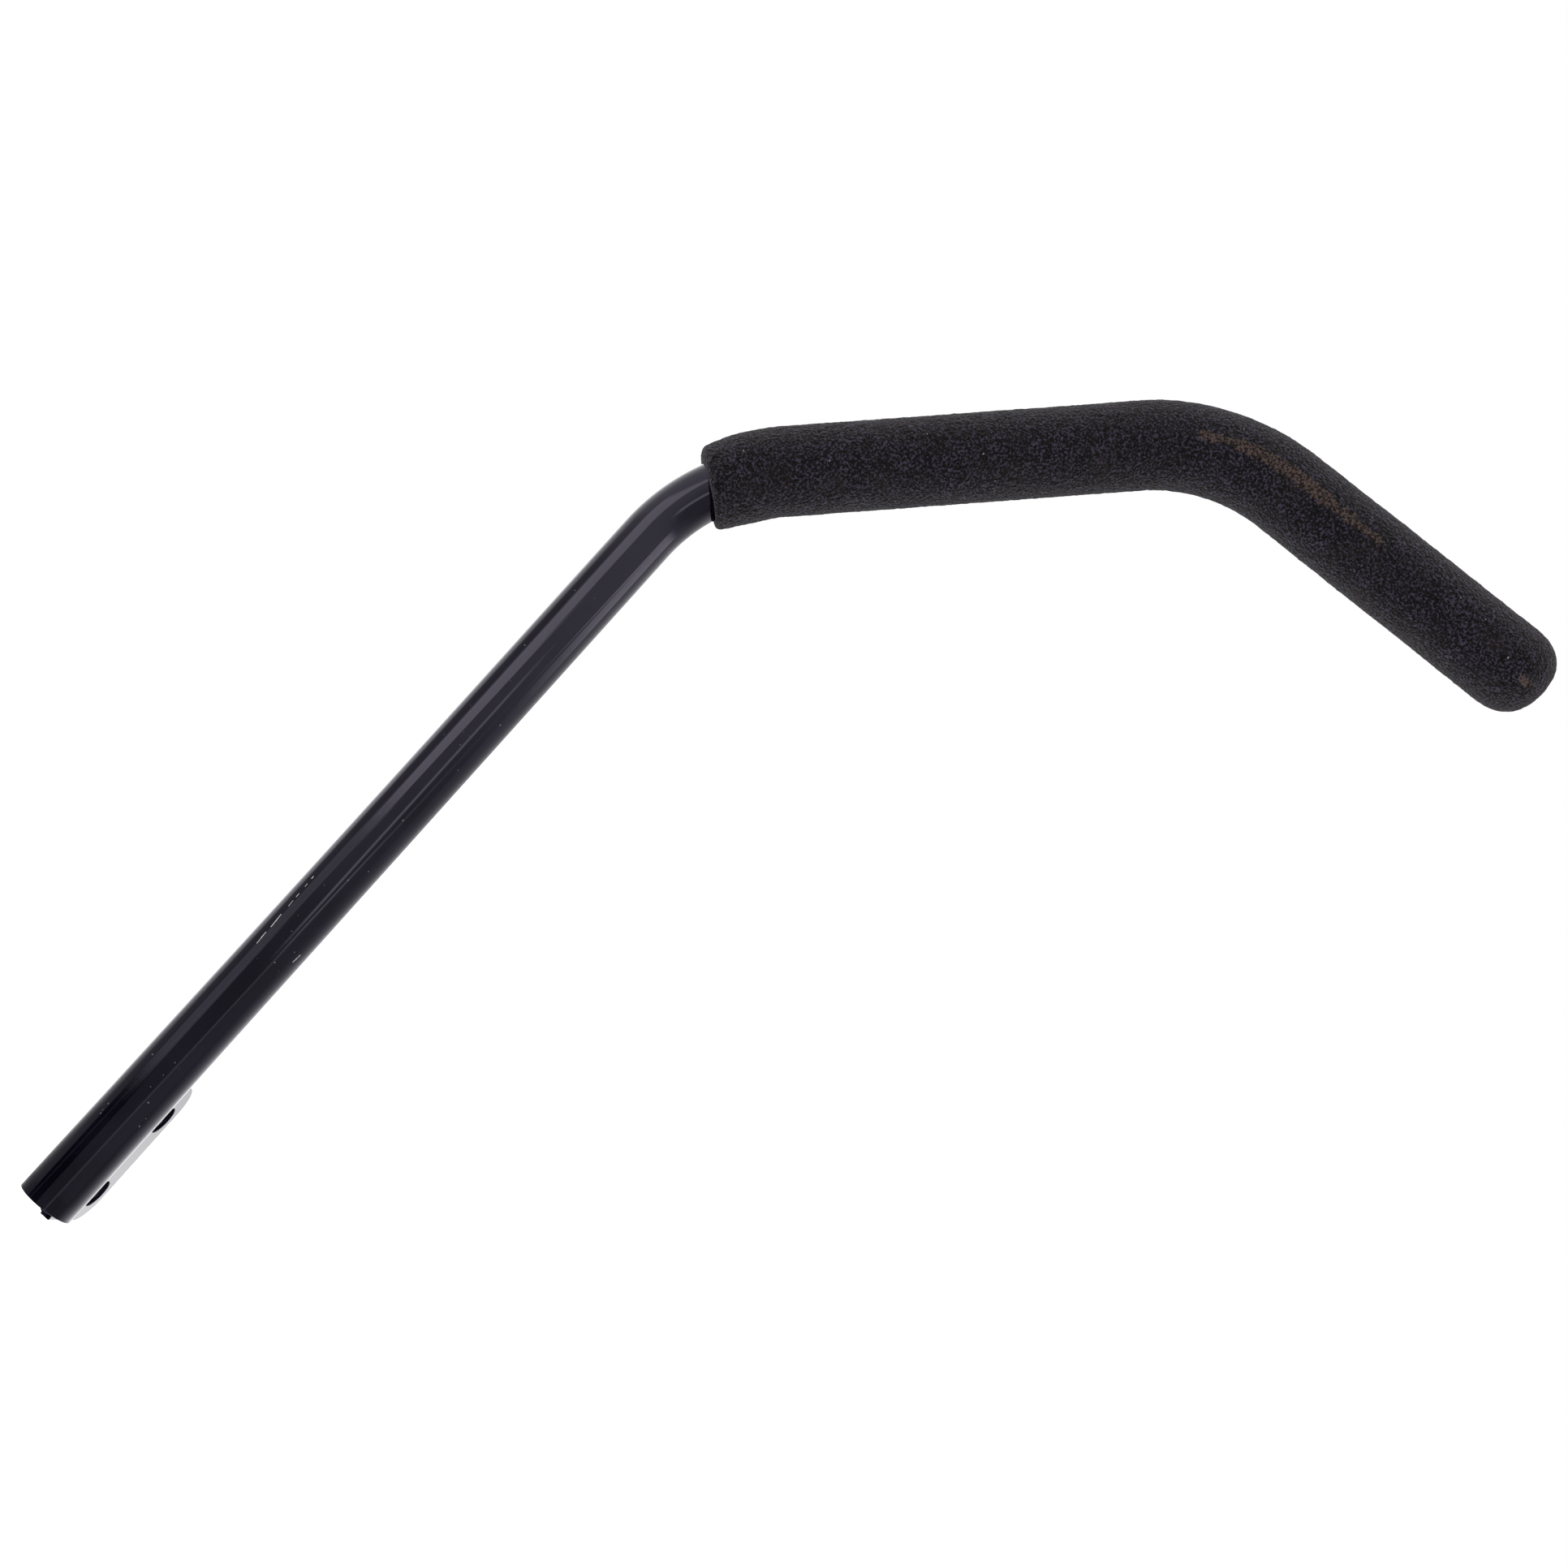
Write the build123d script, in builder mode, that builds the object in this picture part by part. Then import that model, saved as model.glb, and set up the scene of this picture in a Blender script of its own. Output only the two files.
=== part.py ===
"""Bed assist rail: one bent steel grip tube with a bolt-on tab and a closed-end foam grip.

Frame: the tube's straight leg stands along +Z and its bends lie in one XZ plane, the first bend
towards +X. The tab stands off the leg towards +Y. The origin is midway between the two bolt
holes, in the middle of the tab's thickness. Lengths are in millimetres and angles in degrees.
"""
from build123d import *
import math
import os

# ---- grip tube -----------------------------------------------------------------------------------
TUBE_OD = 25.4
TUBE_WALL = 2.1
TUBE_END_ROUND = 0.4
LEG_LENGTH = 382.0  # lower end to the start of the first bend
BEND_RADIUS = 92.0  # to the tube's axis
FIRST_BEND = 45.0
GRIP_STRAIGHT = 164.4  # between the two bends
SECOND_BEND = 46.0
TAIL_LENGTH = 137.4  # end of the second bend to the tube's cut end

# ---- mounting tab --------------------------------------------------------------------------------
TAB_THICKNESS = 4.8
TAB_LENGTH = 74.0
TAB_REACH = 58.0  # tube's axis to the tab's far edge
TAB_BELOW_TUBE = 6.5
TAB_CORNER = 13.0
TAB_EDGE_ROUND = 0.5
HOLE_DIAMETER = 13.5
HOLE_SPACING = 41.0
HOLE_REACH = 46.0  # tube's axis to the line through the holes
HOLE_RISE = 8.5  # tube's lower end to the lower hole
HOLE_EDGE_ROUND = 0.3

# ---- weld beads ----------------------------------------------------------------------------------
WELD_LEG = 4.0
WELD_TOP_GAP = 3.0  # from the tab's top down to the beads' upper ends
WELD_FOOT_WIDTH = 3.2  # the left bead turns under the tube's end
WELD_FOOT_DROP = 5.5
WELD_FOOT_PROUD = 1.5

# ---- foam grip -----------------------------------------------------------------------------------
FOAM_OD = 41.2
FOAM_START = 35.9  # along the first bend's axis to the foam's mouth
MOUTH_SLANT = 14.3  # the mouth's lean from square to the tube
MOUTH_ROUND = 4.0
FOAM_END_WALL = 6.1
FOAM_END_ROUND = 14.0

# ---- tube end plug -------------------------------------------------------------------------------
PLUG_HEAD = 2.0
PLUG_HEAD_ROUND = 0.8
PLUG_SHANK = 14.0
PLUG_WALL = 1.6

# ---- derived sizes and places --------------------------------------------------------------------
TUBE_RADIUS = TUBE_OD / 2
TUBE_BORE = TUBE_RADIUS - TUBE_WALL
TAB_FACE = TAB_THICKNESS / 2
AXIS_Y = -HOLE_REACH
FOOT_Z = -HOLE_RISE - HOLE_SPACING / 2
TAB_BOTTOM = FOOT_Z - TAB_BELOW_TUBE
WELD_LENGTH = TAB_LENGTH - TAB_BELOW_TUBE - WELD_TOP_GAP


def heading(turn):
    """The direction of the tube's axis once it has turned by so many degrees from +Z."""
    return Vector(math.sin(math.radians(turn)), 0, math.cos(math.radians(turn)))


def tube_axis(tail):
    """The tube's axis, from its lower end to so far past the second bend."""
    with BuildLine(Plane.XZ.offset(-AXIS_Y)) as axis:
        leg = Line((0, FOOT_Z), (0, FOOT_Z + LEG_LENGTH))
        first_bend = JernArc(leg @ 1, leg % 1, BEND_RADIUS, -FIRST_BEND)
        middle = PolarLine(first_bend @ 1, GRIP_STRAIGHT, direction=first_bend % 1)
        second_bend = JernArc(middle @ 1, middle % 1, BEND_RADIUS, -SECOND_BEND)
        PolarLine(second_bend @ 1, tail, direction=second_bend % 1)
    return axis.wires()[0]


def bead_section(side):
    """One bead's section at the tube's foot, in the corner between the tab and the tube."""
    toe_x = TAB_FACE + WELD_LEG
    toe_y = math.sqrt(TUBE_RADIUS**2 - toe_x**2)
    with BuildSketch(FOOT_PLANE) as section:
        with BuildLine():
            Polyline(
                (side * TAB_FACE, TUBE_RADIUS + WELD_LEG),
                (side * TAB_FACE, TUBE_BORE),
                (side * toe_x, TUBE_BORE - WELD_LEG),
                (side * toe_x, toe_y),
                close=True,
            )
        make_face()
        Circle(TUBE_RADIUS, mode=Mode.SUBTRACT)
    return section.sketch


FOOT_PLANE = Plane(origin=(0, AXIS_Y, FOOT_Z))
TUBE_PATH = tube_axis(TAIL_LENGTH)
BORE_PATH = tube_axis(TAIL_LENGTH + PLUG_HEAD)
FOAM_PATH = tube_axis(TAIL_LENGTH + PLUG_HEAD + FOAM_END_WALL)
TUBE_END = Plane(origin=TUBE_PATH @ 1, z_dir=heading(FIRST_BEND + SECOND_BEND))
MOUTH_TURN = FOAM_START / BEND_RADIUS
MOUTH_X = BEND_RADIUS * (1 - math.cos(MOUTH_TURN))
MOUTH_Z = FOOT_Z + LEG_LENGTH + BEND_RADIUS * math.sin(MOUTH_TURN)
MOUTH_PLANE = Plane(
    origin=(MOUTH_X, AXIS_Y, MOUTH_Z),
    z_dir=heading(math.degrees(MOUTH_TURN) + MOUTH_SLANT),
)

os.makedirs("parts", exist_ok=True)

# Grip tube: one length of round tube with two bends the same way in one plane, open at its foot.
with BuildPart() as grip_tube:
    with BuildSketch(FOOT_PLANE):
        Circle(TUBE_RADIUS)
        Circle(TUBE_BORE, mode=Mode.SUBTRACT)
    sweep(path=TUBE_PATH)
    fillet(grip_tube.edges().group_by(Axis.Z)[0], TUBE_END_ROUND)
grip_tube.part.label = "grip_tube"
export_step(grip_tube.part, "parts/grip_tube.step")

# Mounting tab: flat plate, coped to the back of the tube, with its two far corners well rounded.
with BuildPart() as mounting_tab:
    tab_near_y = AXIS_Y + TUBE_BORE
    tab_far_y = AXIS_Y + TAB_REACH
    with BuildSketch(Plane.YZ.offset(-TAB_FACE)):
        with Locations(((tab_near_y + tab_far_y) / 2, TAB_BOTTOM + TAB_LENGTH / 2)):
            outline = Rectangle(tab_far_y - tab_near_y, TAB_LENGTH)
        fillet(outline.vertices().group_by(Axis.X)[-1], TAB_CORNER)
        with GridLocations(0, HOLE_SPACING, 1, 2):
            Circle(HOLE_DIAMETER / 2, mode=Mode.SUBTRACT)
    extrude(amount=TAB_THICKNESS)
    tab_faces = mounting_tab.faces().filter_by(Axis.X)
    hole_edges = [wire.edges() for face in tab_faces for wire in face.inner_wires()]
    rim_edges = [face.outer_wire().edges().sort_by(Axis.Y)[1:] for face in tab_faces]
    fillet(hole_edges, HOLE_EDGE_ROUND)
    fillet(rim_edges, TAB_EDGE_ROUND)
    with BuildSketch(FOOT_PLANE.offset(-TAB_BELOW_TUBE)):
        Circle(TUBE_RADIUS)
    extrude(amount=TAB_LENGTH, mode=Mode.SUBTRACT)
mounting_tab.part.label = "mounting_tab"
export_step(mounting_tab.part, "parts/mounting_tab.step")

# Right weld bead: a fillet down the joint between the tab and the tube, on the +X side.
with BuildPart() as right_weld_bead:
    extrude(bead_section(1), amount=WELD_LENGTH)
right_weld_bead.part.label = "right_weld_bead"
export_step(right_weld_bead.part, "parts/right_weld_bead.step")

# Left weld bead: the same on the -X side, with a foot that turns under the tube's end.
with BuildPart() as left_weld_bead:
    extrude(bead_section(-1), amount=WELD_LENGTH)
    foot_back = AXIS_Y + TUBE_RADIUS + WELD_FOOT_PROUD
    with BuildSketch(Plane.XZ.offset(-foot_back)):
        with BuildLine():
            Polyline(
                (-TAB_FACE, FOOT_Z),
                (-TAB_FACE - WELD_FOOT_WIDTH, FOOT_Z),
                (-TAB_FACE, FOOT_Z - WELD_FOOT_DROP),
                close=True,
            )
        make_face()
    extrude(amount=TUBE_WALL + WELD_FOOT_PROUD)
left_weld_bead.part.label = "left_weld_bead"
export_step(left_weld_bead.part, "parts/left_weld_bead.step")

# Foam grip: moulded sleeve with a closed round end. Its mouth stays nearly square to the middle
# stretch, so it lies at a slant across the first bend.
with BuildPart() as foam_grip:
    with BuildSketch(FOOT_PLANE):
        Circle(FOAM_OD / 2)
    sweep(path=FOAM_PATH)
    split(bisect_by=MOUTH_PLANE, keep=Keep.TOP)
    fillet(foam_grip.faces().filter_by(TUBE_END).edges(), FOAM_END_ROUND)
    fillet(foam_grip.faces().filter_by(MOUTH_PLANE).edges(), MOUTH_ROUND)
    with BuildSketch(FOOT_PLANE):
        Circle(TUBE_RADIUS)
    sweep(path=BORE_PATH, mode=Mode.SUBTRACT)
foam_grip.part.label = "foam_grip"
export_step(foam_grip.part, "parts/foam_grip.step")

# Tube end plug: hollow plastic plug whose head covers the tube's cut end inside the foam.
with BuildPart() as tube_end_plug:
    with BuildSketch(TUBE_END):
        Circle(TUBE_RADIUS)
    extrude(amount=PLUG_HEAD)
    fillet(tube_end_plug.edges().sort_by(Axis.X)[-1], PLUG_HEAD_ROUND)
    with BuildSketch(TUBE_END):
        Circle(TUBE_BORE)
        Circle(TUBE_BORE - PLUG_WALL, mode=Mode.SUBTRACT)
    extrude(amount=-PLUG_SHANK)
tube_end_plug.part.label = "tube_end_plug"
export_step(tube_end_plug.part, "parts/tube_end_plug.step")
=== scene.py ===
"""Bed assist rail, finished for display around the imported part.

The painted tube, its two weld beads and the foam grip are modelled here in full detail; the
mounting tab and the tube's end plug are the part's own solids with finished materials. Lengths
are in metres in the part's frame: the leg stands along +Z, the bends turn towards +X and the tab
points along +Y.
"""

import math
import random
from collections import namedtuple

import bmesh
import bpy
import numpy as np
from mathutils import Matrix, Vector, noise


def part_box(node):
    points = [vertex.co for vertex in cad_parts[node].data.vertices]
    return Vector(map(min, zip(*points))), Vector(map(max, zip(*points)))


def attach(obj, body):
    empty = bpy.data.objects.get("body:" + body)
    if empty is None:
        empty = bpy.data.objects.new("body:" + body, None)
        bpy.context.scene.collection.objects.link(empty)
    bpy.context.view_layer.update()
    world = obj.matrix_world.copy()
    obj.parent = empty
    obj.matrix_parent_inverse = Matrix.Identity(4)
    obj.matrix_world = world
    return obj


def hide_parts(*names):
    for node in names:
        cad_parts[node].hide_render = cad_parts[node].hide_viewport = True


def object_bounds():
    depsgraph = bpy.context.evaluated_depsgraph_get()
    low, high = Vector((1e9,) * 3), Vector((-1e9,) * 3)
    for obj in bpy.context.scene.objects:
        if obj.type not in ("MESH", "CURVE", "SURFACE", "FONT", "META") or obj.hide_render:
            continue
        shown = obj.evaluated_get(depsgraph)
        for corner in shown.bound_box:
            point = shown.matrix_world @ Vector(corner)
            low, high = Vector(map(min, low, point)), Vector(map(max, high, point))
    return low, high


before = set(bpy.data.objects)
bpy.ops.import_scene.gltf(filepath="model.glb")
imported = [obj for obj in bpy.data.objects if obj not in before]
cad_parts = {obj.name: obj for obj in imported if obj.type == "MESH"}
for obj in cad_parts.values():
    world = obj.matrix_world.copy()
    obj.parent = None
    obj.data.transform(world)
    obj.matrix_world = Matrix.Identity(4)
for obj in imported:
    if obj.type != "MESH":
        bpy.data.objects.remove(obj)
cad_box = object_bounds()

MM = 0.001

TUBE_LOW, TUBE_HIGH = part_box("grip_tube")
FOAM_LOW, FOAM_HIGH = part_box("foam_grip")
TAB_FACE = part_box("mounting_tab")[1][0]
WELD_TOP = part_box("right_weld_bead")[1][2]

# ---- the tube's run ------------------------------------------------------------------------------
AXIS_Y = (TUBE_LOW[1] + TUBE_HIGH[1]) / 2
FOOT_Z = TUBE_LOW[2]
LEG = 382 * MM
BEND = 92 * MM
FIRST_TURN = math.radians(45)
MIDDLE = 164.4 * MM
SECOND_TURN = math.radians(46)
TAIL = 137.4 * MM
FIRST_BEND_AT = LEG
MIDDLE_AT = FIRST_BEND_AT + BEND * FIRST_TURN
SECOND_BEND_AT = MIDDLE_AT + MIDDLE
TAIL_AT = SECOND_BEND_AT + BEND * SECOND_TURN
TUBE_LENGTH = TAIL_AT + TAIL

TUBE_RADIUS = (TUBE_HIGH[1] - TUBE_LOW[1]) / 2
TUBE_WALL = 2.1 * MM
TUBE_BORE = TUBE_RADIUS - TUBE_WALL
RIM_ROUND = 0.4 * MM
SEAM_ANGLE = math.radians(-19.8)
DRAW_LINE_ANGLE = math.radians(15.8)
LINE_DRIFT = math.radians(-0.056) / MM  # both lines wind slowly round the tube
SEAM_WIDTH = 0.42 * MM
SEAM_PROUD = 0.075 * MM
DRAW_LINE_WIDTH = 0.22 * MM
DRAW_LINE_PROUD = 0.02 * MM

# The same two lines as painted highlights, a lighter grey in the paint's colour: angle, half width
# and strength.
LINE_HIGHLIGHTS = ((SEAM_ANGLE, 0.50 * MM, 0.20), (DRAW_LINE_ANGLE, 0.25 * MM, 0.12))

# How finely the tube's mesh is cut: lengths along it, and degrees round it.
STRAIGHT_STEP = 8 * MM
BEND_STEP = 1.5 * MM
ROUND_STEP = 3.0
LINE_STEP = 0.6
LINE_REACH = 6

# ---- the foam grip -------------------------------------------------------------------------------
FOAM_RADIUS = (FOAM_HIGH[1] - FOAM_LOW[1]) / 2
FOAM_BORE = TUBE_RADIUS + 0.02 * MM
FOAM_START = 35.9 * MM  # along the first bend to the foam's mouth
MOUTH_AT = FIRST_BEND_AT + FOAM_START
MOUTH_SLANT = math.radians(14.3)
MOUTH_ROUND = 4.0 * MM
INNER_TUCK = 3.8 * MM  # the mouth's edge draws in, most on the inside of the bend
OUTER_TUCK = 1.0 * MM
TUCK_LENGTH = 26 * MM
MOUTH_BLEND = 70 * MM  # the rings straighten out over this run
PLUG_HEAD = 2 * MM  # the bore goes this far past the tube's end
FOAM_END_WALL = 6.1 * MM
FOAM_LENGTH = TUBE_LENGTH + PLUG_HEAD + FOAM_END_WALL
NOSE_LENGTH = 21 * MM
NOSE_POWER = 2.4
BORE_LIP = 0.5 * MM  # the bore's last ring stops this short of the mouth
BORE_CORNER = 0.4 * MM  # the mouth's face starts this far out from the bore

# How finely the foam's mesh is cut.
FOAM_STEP = 0.8 * MM
FOAM_BORE_STEP = 12 * MM
FOAM_ROUND_COUNT = 156
MOUTH_TURN_STEP = 10
NOSE_TURN_STEP = 2.2
NOSE_TURN_END = 88.5  # the flat cap closes the rest of the quarter turn

# The foam's uneven surface. Each bump is its height and its width, in millimetres.
FOAM_BUMPS = ((0.22, 38), (0.14, 11), (0.16, 3.4), (0.22, 1.5))
PORE_SPACING = 2.3 * MM
PORE_REACH = 0.38  # as a share of the spacing
PORE_DEPTH = 0.30  # in millimetres, as is the next
GRAIN_SINK = 0.08
GRAIN_FADE = 1.2 * MM  # the grain fades in over this distance from the tube

# ---- wear ----------------------------------------------------------------------------------------
# Half widths are in metres. Other lengths are in millimetres along the tube, and angles are in
# degrees round it. A pair is a length from the tube's foot and an angle.
SCRATCH_CHIPS = 7
SCRATCH_FROM = (135, 22)
SCRATCH_TO = (171, 29)
SCRATCH_CROWDING = 0.85  # below 1, the chips lie closer together towards its far end
SCRATCH_LONGEST = 4.5
SCRATCH_SHORTEST = 1.2
SCRATCH_LEAN = 0.3  # degrees of turn per millimetre of a chip
SCRATCH_STRAY = 1.6  # how far each chip may lie from its even place
CHIP_HALF_WIDTH = 0.18 * MM
NICK_FROM = (139, -60)
NICK_TO = (143, -62)
RUB_FROM = 643
RUB_TO = 738
RUB_LENGTH_STEP = 18
RUB_ANGLE = -4
RUB_END_HALF_WIDTH = 1.6 * MM
RUB_SWELL = 2.2 * MM  # wider than at its ends by this much halfway
NOSE_RUB_BACK = 5  # from the tube's end
NOSE_RUB_LENGTH = 4
NOSE_RUB_ANGLE = -28
NOSE_RUB_HALF_WIDTH = 2.4 * MM

# ---- the weld beads ------------------------------------------------------------------------------
WELD_LEG = 4 * MM
WELD_BULGE = 0.7 * MM
WELD_RIPPLE = 1.7 * MM  # from one ripple to the next
WELD_RIPPLE_HEIGHT = 0.22 * MM
WELD_RIPPLE_BOW = 0.55  # how far each ripple bows up the bead, as a share of one
WELD_WANDER = 0.25 * MM
WELD_TOE_SINK = 0.25 * MM  # the bead's edges lie just inside the metal
WELD_ROOT_SINK = 0.3 * MM
WELD_CORNER_SINK = (0.6 * MM, 0.8 * MM)  # across and into the joint, for the corners inside it
WELD_STEP = 0.28 * MM
WELD_SECTION_STEPS = 12
WELD_RISE = 2.5 * MM  # the right bead thickens over this run
WELD_FALL = 3 * MM  # both beads thin out over this run
WELD_END_SIZE = 0.35
WELD_UNEVEN = 0.05  # how much the bead's size drifts down its length
WELD_START = 0.1 * MM  # above the tube's end
WELD_FOOT_DROP = 5.3 * MM
WELD_FOOT_WIDTH = 3.1 * MM
WELD_FOOT_DEPTH = 1.9 * MM
WELD_FOOT_TIP = 0.15 * MM
WELD_FOOT_STEPS = (1.0, 0.93, 0.82, 0.68, 0.52, 0.36, 0.2, 0.08)  # from its tip to the tube

# ---- finishes ------------------------------------------------------------------------------------
ENAMEL_ROUGHNESS = 0.035
ENAMEL_CLOUDED = 0.02  # added in its cloudy patches
DUST_ROUGHNESS = 0.35
DUST_HEIGHT = 1.5  # heights here are multiples of the paint's relief
ORANGE_PEEL_SCALE = 260.0
ENAMEL_RELIEF = 0.06 * MM
CHIP_RAGGED = 1.8
CHIP_GRAIN = 0.9 * MM
CHIP_ROUGHNESS = 0.4
CHIP_HEIGHT = -4.0
FOAM_GRAIN_SCALE = 900.0
FOAM_PORE_SCALE = 680.0
FOAM_RELIEF = 0.8 * MM
RUB_RAGGED = 2.4
RUB_GRAIN = 1.6 * MM

# ---- colours -------------------------------------------------------------------------------------
ENAMEL_DEEP = (0.0016, 0.0014, 0.0034, 1)
ENAMEL_PALE = (0.0034, 0.0030, 0.0064, 1)
ENAMEL_GLOSS_TINT = (0.85, 0.79, 1.0, 1)
ENAMEL_DUST = (0.085, 0.085, 0.10, 1)
# Painted highlight: the lighter grey laid along the seam and draw line.
ENAMEL_LINE_HIGHLIGHT = (0.060, 0.056, 0.066, 1)
PRIMER = (0.44, 0.42, 0.40, 1)
# Near black: painted shade in the foam's pores and between its grains.
FOAM_PORE_SHADE = (0.0002, 0.0001, 0.0004, 1)
FOAM_GRAIN = (0.0330, 0.0270, 0.0450, 1)
FOAM_MOTTLE = (0.015, 0.009, 0.010, 1)
FOAM_SHEEN_TINT = (0.78, 0.77, 0.76, 1)
FOAM_FLECK = (0.20, 0.20, 0.20, 1)
BROWN_DUST = (0.080, 0.052, 0.038, 1)
PLUG_DEEP = (0.012, 0.012, 0.013, 1)
PLUG_PALE = (0.022, 0.022, 0.024, 1)
FLOOR_GREY = (0.93, 0.93, 0.93, 1)
FLOOR_WHITE = (0.95, 0.95, 0.95, 1)


def axis_at(arc):
    """Where the tube's axis is at these lengths from its foot: x, z and its turn from +Z."""
    arc = np.asarray(arc, float)
    first = np.clip((arc - FIRST_BEND_AT) / BEND, 0, FIRST_TURN)
    second = np.clip((arc - SECOND_BEND_AT) / BEND, 0, SECOND_TURN)
    leg = np.minimum(arc, LEG)
    middle = np.clip(arc - MIDDLE_AT, 0, MIDDLE)
    tail = np.maximum(arc - TAIL_AT, 0)
    last = FIRST_TURN + SECOND_TURN
    x = BEND * (1 - np.cos(first)) + middle * math.sin(FIRST_TURN)
    x += BEND * (math.cos(FIRST_TURN) - np.cos(FIRST_TURN + second)) + tail * math.sin(last)
    z = FOOT_Z + leg + BEND * np.sin(first) + middle * math.cos(FIRST_TURN)
    z += BEND * (np.sin(FIRST_TURN + second) - math.sin(FIRST_TURN)) + tail * math.cos(last)
    return x, z, first + second


def round_axis(arc, angle, radius):
    """Points round the tube's axis. Angle 0 faces -Y and a quarter turn faces out of the bends."""
    x, z, turn = axis_at(arc)
    out = radius * np.sin(angle)
    y = AXIS_Y - radius * np.cos(angle) + 0 * x
    return np.stack((x - out * np.cos(turn), y, z + out * np.sin(turn)), -1)


def spread(start, end, step):
    """Evenly spaced values from start to end, no further apart than step."""
    return np.linspace(start, end, max(2, int(math.ceil(abs(end - start) / step)) + 1))


def skin(name, rings, wrap=False):
    """A closed mesh through rings of points, with its ends capped or joined to each other."""
    count, around = rings.shape[:2]
    points = rings.reshape(-1, 3).tolist()
    faces = []
    for row in range(count if wrap else count - 1):
        here = row * around
        there = (row + 1) % count * around
        for k in range(around):
            n = (k + 1) % around
            faces.append((here + k, here + n, there + n, there + k))
    if not wrap:
        for row in (0, count - 1):
            points.append(rings[row].mean(0).tolist())
            hub = len(points) - 1
            base = row * around
            faces += [(hub, base + k, base + (k + 1) % around) for k in range(around)]
    mesh = bpy.data.meshes.new(name)
    mesh.from_pydata(points, [], faces)
    shape = bmesh.new()
    shape.from_mesh(mesh)
    bmesh.ops.recalc_face_normals(shape, faces=shape.faces)
    shape.to_mesh(mesh)
    shape.free()
    mesh.shade_smooth()
    piece = bpy.data.objects.new(name, mesh)
    bpy.context.scene.collection.objects.link(piece)
    return piece


# ---- node helpers --------------------------------------------------------------------------------
def add(tree, kind, inputs=None, **settings):
    """Adds a node. Each input is given a constant or another node's output."""
    node = tree.nodes.new(kind)
    for key, value in settings.items():
        setattr(node, key, value)
    for key, value in (inputs or {}).items():
        if isinstance(value, bpy.types.NodeSocket):
            tree.links.new(value, node.inputs[key])
        else:
            node.inputs[key].default_value = value
    return node


def calc(tree, operation, *values, clamp=False):
    """One step of arithmetic on numbers."""
    inputs = dict(enumerate(values))
    node = add(tree, "ShaderNodeMath", inputs, operation=operation, use_clamp=clamp)
    return node.outputs[0]


def vector_calc(tree, operation, *values):
    """One step of arithmetic on vectors."""
    node = add(tree, "ShaderNodeVectorMath", dict(enumerate(values)), operation=operation)
    return node.outputs["Value" if operation in ("DOT_PRODUCT", "LENGTH") else "Vector"]


def ramp(tree, value, start, end, low=0.0, high=1.0):
    """Eases from low to high as the value goes from start to end."""
    limits = {"Value": value, "From Min": start, "From Max": end, "To Min": low, "To Max": high}
    node = add(tree, "ShaderNodeMapRange", limits, interpolation_type="SMOOTHSTEP")
    return node.outputs["Result"]


def blend(tree, amount, first, second):
    """Mixes two colours."""
    node = add(tree, "ShaderNodeMix", data_type="RGBA")
    for socket, value in ((0, amount), (6, first), (7, second)):
        if isinstance(value, bpy.types.NodeSocket):
            tree.links.new(value, node.inputs[socket])
        else:
            node.inputs[socket].default_value = value
    return node.outputs[2]


def new_group(name, inputs, outputs):
    """An empty shader node group with named sockets; returns it with its two end nodes."""
    tree = bpy.data.node_groups.new(name, "ShaderNodeTree")
    for label, kind, value in inputs:
        socket = tree.interface.new_socket(label, in_out="INPUT", socket_type="NodeSocket" + kind)
        socket.default_value = value
    for label, kind in outputs:
        tree.interface.new_socket(label, in_out="OUTPUT", socket_type="NodeSocket" + kind)
    return tree, tree.nodes.new("NodeGroupInput"), tree.nodes.new("NodeGroupOutput")


def use(tree, group, inputs):
    """Places a node group in a tree."""
    node = tree.nodes.new("ShaderNodeGroup")
    node.node_tree = group
    for key, value in inputs.items():
        if isinstance(value, bpy.types.NodeSocket):
            tree.links.new(value, node.inputs[key])
        else:
            node.inputs[key].default_value = value
    return node


def cloudy_group():
    """Broad soft patches, from 0 to 1."""
    sockets = [("Place", "Vector", (0, 0, 0)), ("Patch Size", "Float", 0.03)]
    tree, given, made = new_group("Cloudy Patches", sockets, [("Value", "Float")])
    scale = calc(tree, "DIVIDE", 1.0, given.outputs["Patch Size"])
    inputs = {"Vector": given.outputs["Place"], "Scale": scale, "Detail": 3.0, "Roughness": 0.55}
    cloud = add(tree, "ShaderNodeTexNoise", inputs)
    tree.links.new(ramp(tree, cloud.outputs["Fac"], 0.3, 0.7), made.inputs["Value"])
    return tree


def specks_group():
    """Scattered small dots: a share of the cells hold one dot each."""
    sockets = [
        ("Place", "Vector", (0, 0, 0)),
        ("Spacing", "Float", 0.004),
        ("Dot Size", "Float", 0.1),
        ("Share", "Float", 0.3),
    ]
    tree, given, made = new_group("Scattered Specks", sockets, [("Mask", "Float")])
    scale = calc(tree, "DIVIDE", 1.0, given.outputs["Spacing"])
    cells = add(tree, "ShaderNodeTexVoronoi", {"Vector": given.outputs["Place"], "Scale": scale})
    parts = add(tree, "ShaderNodeSeparateColor", {"Color": cells.outputs["Color"]})
    chosen = calc(tree, "LESS_THAN", parts.outputs["Red"], given.outputs["Share"])
    size = calc(tree, "MULTIPLY", given.outputs["Dot Size"], parts.outputs["Green"])
    inside = calc(tree, "LESS_THAN", cells.outputs["Distance"], size)
    tree.links.new(calc(tree, "MULTIPLY", chosen, inside), made.inputs["Mask"])
    return tree


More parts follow.
